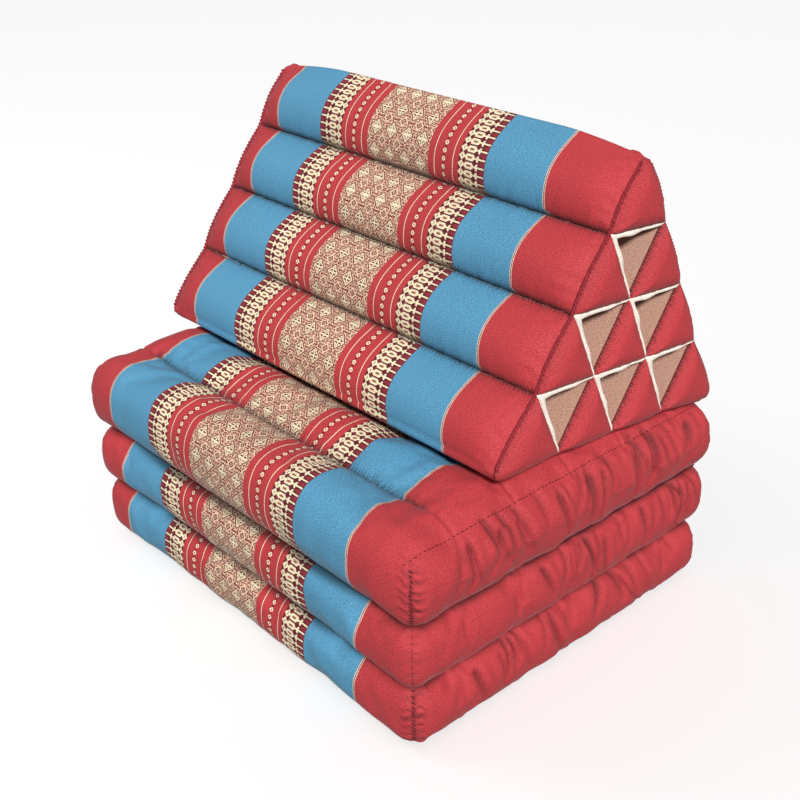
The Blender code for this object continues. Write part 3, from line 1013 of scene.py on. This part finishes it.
class Field:
    """A number that changes over the cloth, held as a socket of a node tree."""

    def __init__(self, tree, socket):
        self.tree = tree
        self.socket = socket

    def work(self, operation, *terms):
        node = self.tree.nodes.new("ShaderNodeMath")
        node.operation = operation
        for slot, term in zip(node.inputs, (self, *terms)):
            if isinstance(term, Field):
                self.tree.links.new(term.socket, slot)
            else:
                slot.default_value = term
        return Field(self.tree, node.outputs[0])

    def __add__(self, other):
        return self.work("ADD", other)

    def __sub__(self, other):
        return self.work("SUBTRACT", other)

    def __mul__(self, other):
        return self.work("MULTIPLY", other)

    def __truediv__(self, other):
        return self.work("DIVIDE", other)

    def __abs__(self):
        return self.work("ABSOLUTE")

    def __and__(self, other):
        return self.work("MINIMUM", other)

    def __or__(self, other):
        return self.work("MAXIMUM", other)

    def __lt__(self, other):
        return self.work("LESS_THAN", other)

    def __gt__(self, other):
        return self.work("GREATER_THAN", other)

    def from_middle(self, pitch):
        """Distance to the nearest multiple of the pitch."""
        return self.work("PINGPONG", pitch / 2)

    def between(self, low, high):
        return (self > low) & (self < high)


def split_vector(tree, socket):
    node = tree.nodes.new("ShaderNodeSeparateXYZ")
    tree.links.new(socket, node.inputs[0])
    return [Field(tree, output) for output in node.outputs]


def overlay(tree, base, colour, mask):
    """The base colour, with another colour wherever the mask is 1."""
    node = tree.nodes.new("ShaderNodeMix")
    node.data_type = "RGBA"
    tree.links.new(mask.socket, node.inputs["Factor"])
    for slot, value in ((node.inputs[6], base), (node.inputs[7], colour)):
        if isinstance(value, tuple):
            slot.default_value = value
        else:
            tree.links.new(value, slot)
    return node.outputs[2]


def new_group(name, inputs, outputs):
    group = bpy.data.node_groups.new(name, "ShaderNodeTree")
    for label, kind in inputs:
        group.interface.new_socket(name=label, in_out="INPUT", socket_type=kind)
    for label, kind in outputs:
        group.interface.new_socket(name=label, in_out="OUTPUT", socket_type=kind)
    return group, group.nodes.new("NodeGroupInput"), group.nodes.new("NodeGroupOutput")


def lattice(across, along):
    """Middle band: flowers in dark diamonds, small rings between them, and dotted bands round both."""
    width, height = LATTICE_REPEAT[0] * THREADS[0], LATTICE_REPEAT[1] * THREADS[1]
    s = across.from_middle(width) / width
    t = along.from_middle(height) / height
    ring = s + t
    spaced = (along + THREADS[1] / 2).from_middle(4 * THREADS[1]) < THREADS[1] * 1.2
    dots = (ring.between(0.445, 0.52) | ring.between(0.275, 0.345)) & spaced
    from_flower = (s - 0.5) * -1, (t - 0.5) * -1
    bright = ((from_flower[0] | from_flower[1]) < 0.19) & (ring > 0.70)
    veins = (from_flower[0] & from_flower[1]).between(0.05, 0.085) & (ring < 0.90)
    dark = ring.between(0.09, 0.165) | (ring < 0.045) | ring.between(0.575, 0.65) | dots | (veins & bright)
    salmon = ring.between(0.375, 0.425)
    return dark, salmon, bright


def chain(across, along):
    """Diamonds down the red band: their cream, and the dark spots between and beside them."""
    off = abs(across - 69.3)
    step = along.from_middle(FIGURE_PITCH)
    cream = ((off / 2.7 + step / 3.3) < 1.0) & ((off + step) > 0.9)
    spots = (off / 2.4 + (step - FIGURE_PITCH / 2) * -1 / 1.5) < 1.0
    beside = off.between(2.7, 3.9) & (step < 1.4)
    return cream, spots | beside


def figures(across, along):
    """Rows of the dark band: a small diamond, a long ring and a winged stem, with dull red between."""
    out = across - CHAIN_EDGE
    step = along.from_middle(FIGURE_PITCH)
    between = (step - FIGURE_PITCH / 2) * -1
    small = abs(out - 4.05)
    diamond = ((small / 4.9 + step / 3.9) < 1.0) & ((small + step) > 1.3)
    long = abs(out - 14.4)
    hexagon = (long / 7.4 + step / 7.8) | (step / 3.4)
    slit = (long < 2.8) & (step < 0.6)
    stem = out.between(21.0, 35.0) & (step < 0.95)
    wings = (abs(out - 25.0) + step * 0.35 < 1.9) & (step < 3.5)
    cream = diamond | (hexagon < 1.0) | stem | wings
    salmon = hexagon < 0.52
    dull = ((abs(out - 32.5) / 6.0 + between / 2.6) < 1.0) | ((abs(out - 8.6) / 2.2 + between / 1.8) < 1.0)
    return cream, salmon, slit, dull


def woven_bands():
    """Colours of the woven cloth, from the plain red ends to the lattice in the middle."""
    group, given, result = new_group("woven_bands", [("Weave", "NodeSocketVector")],
                                     [("Color", "NodeSocketColor"), ("Figure", "NodeSocketFloat")])
    along_bolster, round_bolster, _ = split_vector(group, given.outputs[0])
    millimetres = (along_bolster - PATTERN_MIDDLE) * 1000
    across = abs(millimetres.work("SNAP", THREADS[0]) + THREADS[0] / 2)
    along = (round_bolster * 1000).work("SNAP", THREADS[1]) + THREADS[1] / 2
    dark, salmon, bright = lattice(across, along)
    links, spots = chain(across, along)
    figure, fill, slit, dull = figures(across, along)
    in_middle = across < LATTICE_EDGE
    in_chain = across.between(LATTICE_EDGE, CHAIN_EDGE)
    in_figures = across.between(CHAIN_EDGE - 0.8, FIGURE_EDGE)
    in_blue = across.between(FIGURE_EDGE, BLUE_EDGE)
    lines = in_chain & ((abs(across - 56.25) < 0.6) | (abs(across - 82.35) < 0.6))
    edge = abs(across - BLUE_EDGE - 1.3)
    layers = ((BLUE_DYE, in_blue), (MAROON_DYE, across.between(CHAIN_EDGE, FIGURE_EDGE)),
              (SAND_DYE, in_middle), (CREAM_DYE, in_middle & bright), (SALMON_DYE, in_middle & salmon),
              (MAROON_DYE, in_middle & dark), (MAROON_DYE, in_chain & spots),
              (DULL_RED_DYE, in_figures & dull), (CREAM_DYE, (in_chain & links) | lines),
              (CREAM_DYE, in_figures & figure), (SAND_DYE, in_figures & fill),
              (BROWN_DYE, in_figures & slit), (PALE_LINE_DYE, edge < 1.45), (BROWN_DYE, edge < 0.5))
    colour = RED_DYE
    for thread_dye, mask in layers:
        colour = overlay(group, colour, thread_dye, mask)
    group.links.new(colour, result.inputs[0])
    raised = (in_middle & bright) | (in_chain & links) | lines | (in_figures & figure)
    group.links.new(raised.socket, result.inputs[1])
    return group


def plain_weave():
    """Over-and-under threads: a height for the relief and a shade for the gaps between threads."""
    group, given, result = new_group(
        "plain_weave", [("Weave", "NodeSocketVector"), ("Pitch", "NodeSocketFloat")],
        [("Height", "NodeSocketFloat"), ("Shade", "NodeSocketFloat")])
    along, across, _ = split_vector(group, given.outputs[0])
    pitch = Field(group, given.outputs[1])
    turn = math.pi
    warp = (along / pitch * turn).work("SINE")
    weft = (across / pitch * turn).work("SINE")
    height = abs(warp) * abs(weft) * 0.5 + warp * weft * 0.25
    slub = stretched_noise(group, given.outputs[0], (340.0, 1500.0, 0.0), 1.0)
    fleck = stretched_noise(group, given.outputs[0], (1900.0, 1400.0, 0.0), 1.0)
    group.links.new((height + slub * 0.5).socket, result.inputs[0])
    group.links.new((slub * 1.2 + fleck * 3.4 + height * 0.08 - 1.32).socket, result.inputs[1])
    return group


def stretched_noise(tree, vector, scales, detail):
    stretch = tree.nodes.new("ShaderNodeMapping")
    stretch.inputs["Scale"].default_value = scales
    tree.links.new(vector, stretch.inputs["Vector"])
    noise = tree.nodes.new("ShaderNodeTexNoise")
    noise.inputs["Scale"].default_value = 1.0
    noise.inputs["Detail"].default_value = detail
    tree.links.new(stretch.outputs[0], noise.inputs["Vector"])
    return Field(tree, noise.outputs["Fac"])


def seam_gathers_and_shade():
    """Small gathers that cross a channel seam, deepest on it, and painted shade: in the dips between them,
    in the crease on the seam and in the hollow beside it.
    """
    group, given, result = new_group("seam_gathers_and_shade", [("Weave", "NodeSocketVector")],
                                     [("Height", "NodeSocketFloat"), ("Shade", "NodeSocketFloat")])
    along, _, seam = split_vector(group, given.outputs[0])
    wander = stretched_noise(group, given.outputs[0], (90.0, 40.0, 0.0), 1.0)
    folds = ((along / 0.0045 + wander * 2.4) * (2 * math.pi)).work("SINE")
    length = stretched_noise(group, given.outputs[0], (160.0, 0.0, 0.0), 1.0) * 0.013 + 0.0005
    close = ((seam / length) * -1 + 1).work("MAXIMUM", 0.0)
    # Painted shade of the crease on the seam and of the hollow beside it
    crease = ((seam / 0.006) * -1 + 1).work("MAXIMUM", 0.0)
    hollow = ((seam / 0.019) * -1 + 1).work("MAXIMUM", 0.0)
    group.links.new((folds * close).socket, result.inputs[0])
    dips = (folds * -1).work("MAXIMUM", 0.0) * close
    shade = dips * -0.25 - crease * crease * 0.32 - hollow * hollow * 0.26 + 1
    group.links.new(shade.socket, result.inputs[1])
    return group


def pulled_cloth():
    """Creases of a gathered cover, down its sides and across its corner seams, and painted shade along
    those creases and deep in its folds, tucks, drawn seams and the creases between two mats.
    """
    group, given, result = new_group(
        "pulled_cloth", [("Weave", "NodeSocketVector"), ("Place", "NodeSocketVector"),
                         ("Pull", "NodeSocketVector")],
        [("Height", "NodeSocketFloat"), ("Shade", "NodeSocketFloat")])
    sides, corners, valley = split_vector(group, given.outputs[2])
    down = stretched_noise(group, given.outputs[0], (14.0, 55.0, 0.0), 1.0)
    level = stretched_noise(group, given.outputs[1], (22.0, 22.0, 170.0), 1.0)
    soft = stretched_noise(group, given.outputs[0], (22.0, 60.0, 0.0), 2.0)
    patches = (soft * 3.2 - 1.4).work("MAXIMUM", 0.0)
    pleats = (abs(down - 0.5) * -10 + 1).work("MAXIMUM", 0.0) * sides * patches * 0.6
    tucks = (abs(level - 0.5) * -12 + 1).work("MAXIMUM", 0.0) * corners
    creases = pleats | tucks
    group.links.new((soft * 1.4 * sides - creases).socket, result.inputs[0])
    # Painted shade: darker along the creases and in the valleys of folds, tucks, drawn seams and the
    # creases between mats
    group.links.new((creases * -0.14 - valley * 0.78 + 1).socket, result.inputs[1])
    return group


def faded_and_shaded_cloth():
    """Uneven dye, a colour that drifts a little lighter and darker over the cloth, scaled by the given
    shade, which holds the weave's grain and, on cloth, the painted shade of seams, creases and folds.
    """
    group, given, result = new_group(
        "faded_and_shaded_cloth",
        [("Color", "NodeSocketColor"), ("Place", "NodeSocketVector"), ("Shade", "NodeSocketFloat"),
         ("Drift", "NodeSocketFloat")],
        [("Color", "NodeSocketColor"), ("Roughness", "NodeSocketFloat")])
    noise = group.nodes.new("ShaderNodeTexNoise")
    group.links.new(given.outputs[1], noise.inputs["Vector"])
    noise.inputs["Scale"].default_value = 11.0
    noise.inputs["Detail"].default_value = 4.0
    slow = Field(group, noise.outputs["Fac"])
    drift = Field(group, given.outputs[3])
    # Painted shade from the Shade input goes into the colour here, with the dye's drift
    light = (slow - 0.5) * drift * 2 + Field(group, given.outputs[2])
    scale = group.nodes.new("ShaderNodeVectorMath")
    scale.operation = "SCALE"
    group.links.new(given.outputs[0], scale.inputs[0])
    group.links.new(light.socket, scale.inputs["Scale"])
    group.links.new(scale.outputs[0], result.inputs[0])
    group.links.new((slow * 0.2 + 0.68).socket, result.inputs[1])
    return group


def use_group(tree, group):
    node = tree.nodes.new("ShaderNodeGroup")
    node.node_tree = group
    return node


def start_cloth(name, groups, where, output, pitch, drift):
    """A material with woven threads and uneven dye, and the socket that says where its weave lies."""
    material = bpy.data.materials.new(name)
    material.use_nodes = True
    tree = material.node_tree
    place = tree.nodes.new("ShaderNodeTexCoord")
    if where:
        source = tree.nodes.new("ShaderNodeAttribute")
        source.attribute_name = where
    else:
        source = place
    threads = use_group(tree, groups["weave"])
    tree.links.new(source.outputs[output], threads.inputs["Weave"])
    threads.inputs["Pitch"].default_value = pitch
    dyed_and_shaded = use_group(tree, groups["faded_and_shaded"])
    tree.links.new(place.outputs["Object"], dyed_and_shaded.inputs["Place"])
    dyed_and_shaded.inputs["Drift"].default_value = drift
    return material, source.outputs[output], place.outputs["Object"], threads, dyed_and_shaded


def finish_cloth(tree, dyed_and_shaded, height, relief, distance):
    """Lay the dye and the relief on the cloth's surface."""
    shader = tree.nodes["Principled BSDF"]
    tree.links.new(dyed_and_shaded.outputs["Color"], shader.inputs["Base Color"])
    tree.links.new(dyed_and_shaded.outputs["Roughness"], shader.inputs["Roughness"])
    bump = tree.nodes.new("ShaderNodeBump")
    bump.inputs["Strength"].default_value = relief
    bump.inputs["Distance"].default_value = distance
    tree.links.new(height, bump.inputs["Height"])
    tree.links.new(bump.outputs["Normal"], shader.inputs["Normal"])


def cloth_material(name, groups, relief, drift, sheen, colour=None):
    """Plain cotton in one dye, or the banded cloth of the covers where no dye is given."""
    material, weave, place, threads, dyed_and_shaded = start_cloth(name, groups, "weave", "Vector", 0.0011, drift)
    tree = material.node_tree
    shader = tree.nodes["Principled BSDF"]
    shader.inputs["Sheen Weight"].default_value = sheen
    shader.inputs["Sheen Roughness"].default_value = 0.4
    shader.inputs["Specular IOR Level"].default_value = 0.35
    gathers = use_group(tree, groups["gathers"])
    tree.links.new(weave, gathers.inputs["Weave"])
    shade = Field(tree, threads.outputs["Shade"]) * Field(tree, gathers.outputs["Shade"])
    height = Field(tree, threads.outputs["Height"]) * 0.12 + Field(tree, gathers.outputs["Height"]) * 2.0
    if colour is None:
        # The pull attribute's third value weights the painted shade in folds, tucks and creases
        pull = tree.nodes.new("ShaderNodeAttribute")
        pull.attribute_name = "pull"
        creases = use_group(tree, groups["pulled"])
        tree.links.new(weave, creases.inputs["Weave"])
        tree.links.new(place, creases.inputs["Place"])
        tree.links.new(pull.outputs["Vector"], creases.inputs["Pull"])
        height = height + Field(tree, creases.outputs["Height"]) * 3.0
        shade = shade * Field(tree, creases.outputs["Shade"])
        bands = use_group(tree, groups["bands"])
        tree.links.new(weave, bands.inputs["Weave"])
        tree.links.new(bands.outputs["Color"], dyed_and_shaded.inputs["Color"])
        height = height + Field(tree, bands.outputs["Figure"]) * 0.4
    else:
        dyed_and_shaded.inputs["Color"].default_value = colour
    tree.links.new(shade.socket, dyed_and_shaded.inputs["Shade"])
    finish_cloth(tree, dyed_and_shaded, height.socket, relief, 0.0004)
    return material


def thread_material(name, groups, colour):
    """Twisted sewing thread or rolled seam, in one dye."""
    material, _, _, threads, dyed_and_shaded = start_cloth(name, groups, None, "Object", 0.0009, 0.2)
    tree = material.node_tree
    tree.nodes["Principled BSDF"].inputs["Specular IOR Level"].default_value = 0.3
    tree.links.new(threads.outputs["Shade"], dyed_and_shaded.inputs["Shade"])
    dyed_and_shaded.inputs["Color"].default_value = colour
    finish_cloth(tree, dyed_and_shaded, threads.outputs["Height"], 0.4, 0.0003)
    return material


# Studio

def aim(place, target):
    return (Vector(target) - Vector(place)).to_track_quat("-Z", "Y").to_euler()


CAMERA_PLACE = (0.9222, -0.8006, 0.8419)
CAMERA_TURN = (48.47, 27.88, -1.266)
CAMERA_LENS = 56.05


def add_camera():
    """The photo's view, turned by degrees round the cushion, above the floor and about the lens."""
    azimuth, elevation, roll = [math.radians(angle) for angle in CAMERA_TURN]
    back = Vector((math.sin(azimuth) * math.cos(elevation),
                   -math.cos(azimuth) * math.cos(elevation), math.sin(elevation)))
    level = Vector((math.cos(azimuth), math.sin(azimuth), 0.0))
    above = back.cross(level)
    right = level * math.cos(roll) + above * math.sin(roll)
    up = above * math.cos(roll) - level * math.sin(roll)
    view = bpy.data.cameras.new("view")
    view.lens = CAMERA_LENS
    view.sensor_width = 36.0
    view.clip_start = 0.01
    camera = bpy.data.objects.new("camera", view)
    bpy.context.collection.objects.link(camera)
    turned = Matrix((right, up, back)).transposed().to_4x4()
    camera.matrix_world = Matrix.Translation(CAMERA_PLACE) @ turned
    bpy.context.scene.camera = camera


def add_light(name, place, target, size, power):
    lamp = bpy.data.lights.new(name, "AREA")
    lamp.shape = "DISK"
    lamp.size = size
    lamp.energy = power
    light = bpy.data.objects.new(name, lamp)
    bpy.context.collection.objects.link(light)
    light.location = place
    light.rotation_euler = aim(place, target)


def add_floor():
    """A pale floor that gives less light back to the cushion's sides than the camera sees."""
    bm = bmesh.new()
    bmesh.ops.create_grid(bm, x_segments=1, y_segments=1, size=12.0)
    mesh = finished_mesh("floor", bm)
    floor = bpy.data.objects.new("floor", mesh)
    bpy.context.collection.objects.link(floor)
    pale = bpy.data.materials.new("pale_floor")
    pale.use_nodes = True
    tree = pale.node_tree
    shader = tree.nodes["Principled BSDF"]
    seen = tree.nodes.new("ShaderNodeLightPath")
    shade = tree.nodes.new("ShaderNodeMix")
    shade.data_type = "RGBA"
    shade.inputs[6].default_value = (0.22, 0.22, 0.22, 1.0)
    shade.inputs[7].default_value = (0.92, 0.92, 0.92, 1.0)
    tree.links.new(seen.outputs["Is Camera Ray"], shade.inputs["Factor"])
    tree.links.new(shade.outputs[2], shader.inputs["Base Color"])
    shader.inputs["Roughness"].default_value = 0.9
    mesh.materials.append(pale)


def add_studio():
    world = bpy.data.worlds.new("studio")
    world.use_nodes = True
    world.node_tree.nodes["Background"].inputs["Color"].default_value = (1, 1, 1, 1)
    world.node_tree.nodes["Background"].inputs["Strength"].default_value = 0.25
    bpy.context.scene.world = world
    sun = bpy.data.lights.new("key", "SUN")
    sun.energy = 4.15
    sun.angle = math.radians(9)
    key = bpy.data.objects.new("key", sun)
    bpy.context.collection.objects.link(key)
    key.rotation_euler = aim((0.66, -0.46, 0.60), (0, 0, 0))
    add_light("fill", (-1.6, -1.2, 1.7), (0, 0, 0.2), 1.2, 7.5)
    bpy.context.scene.view_settings.view_transform = "Standard"
    add_floor()


def main():
    groups = {"bands": woven_bands(), "weave": plain_weave(), "faded_and_shaded": faded_and_shaded_cloth(),
              "gathers": seam_gathers_and_shade(), "pulled": pulled_cloth()}
    cloth = cloth_material("woven_cloth_bands", groups, 0.6, 0.10, 0.06)
    red = cloth_material("red_cotton", groups, 0.6, 0.10, 0.06, RED_DYE)
    thread = thread_material("red_thread", groups, THREAD_DYE)
    dark_thread = thread_material("dark_thread", groups, DARK_THREAD_DYE)
    grey_thread = thread_material("grey_thread", groups, GREY_THREAD_DYE)
    # Recess walls: the calico dyed dark, as painted shade of the recesses
    calico = cloth_material("recess_shaded_calico", groups, 0.6, 0.06, 0.05, RECESS_SHADED_CALICO_DYE)
    # Recess lips: the same calico dyed near white, as painted light
    lit_lip_calico = cloth_material("lit_lip_calico", groups, 0.3, 0.04, 0.05, LIT_LIP_CALICO_DYE)
    mats = make_mats(cloth)
    sew_mats(mats, dark_thread)
    roll_crease_seam(dark_thread)
    make_bolster(cloth, calico, red)
    make_lips(lit_lip_calico)
    sew_ends(thread)
    sew_recesses(grey_thread)
    add_camera()
    add_studio()


main()
